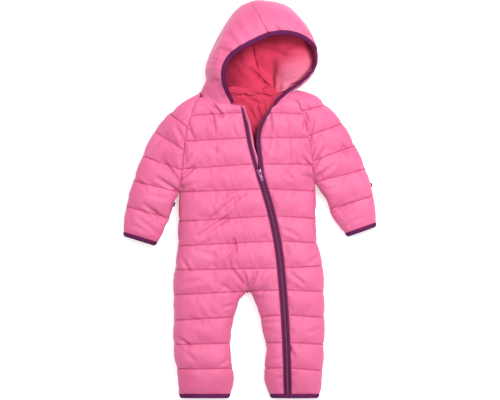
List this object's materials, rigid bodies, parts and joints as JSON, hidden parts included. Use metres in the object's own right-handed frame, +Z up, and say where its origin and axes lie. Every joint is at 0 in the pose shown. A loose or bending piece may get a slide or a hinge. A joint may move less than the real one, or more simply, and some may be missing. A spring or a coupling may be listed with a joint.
{
  "type": "baby snowsuit",
  "caption": "One-piece quilted baby snowsuit with a hood, bound cuffs and hems, and a slanting front zip that is part open, laid flat on its back.",
  "frame": {"origin": "middle of the flat-laid garment's bounding box, on the surface it lies on", "axes": "+Z up out of the garment's front, +Y from the hems to the hood, +X to the wearer's left"},
  "size_m": [0.5084, 0.7942, 0.0978],
  "materials": {
    "quilted_shell": "padded woven nylon with a slight sheen",
    "lining": "smooth woven lining",
    "purple_trim": "matt elastic binding and zip tape",
    "slider_paint": "satin enamel"
  },
  "bodies": {
    "garment": {"back": "quilted_shell", "back_lining": "lining", "cuff_binding_left": "purple_trim", "cuff_binding_right": "purple_trim", "front_main": "quilted_shell", "front_side": "quilted_shell", "hem_binding_left": "purple_trim", "hem_binding_right": "purple_trim", "hood_binding": "purple_trim", "hood_left": "quilted_shell", "hood_lining_left": "lining", "hood_lining_right": "lining", "hood_right": "quilted_shell", "sleeve_left": "quilted_shell", "sleeve_right": "quilted_shell", "sleeve_tab_left": "purple_trim", "sleeve_tab_right": "purple_trim", "zip_guard": "lining", "zip_slider": "slider_paint", "zip_tape_left": "purple_trim", "zip_tape_right": "purple_trim"},
    "pull_tab": {"zip_pull": "slider_paint"}
  },
  "joints": [
    {"name": "pull_hinge", "type": "hinge", "parent": "garment", "child": "pull_tab", "pos_m": [0.01891, 0.056, 0.0493], "axis": [-0.9546, -0.2978, 0], "range_deg": [0, 170]}
  ]
}
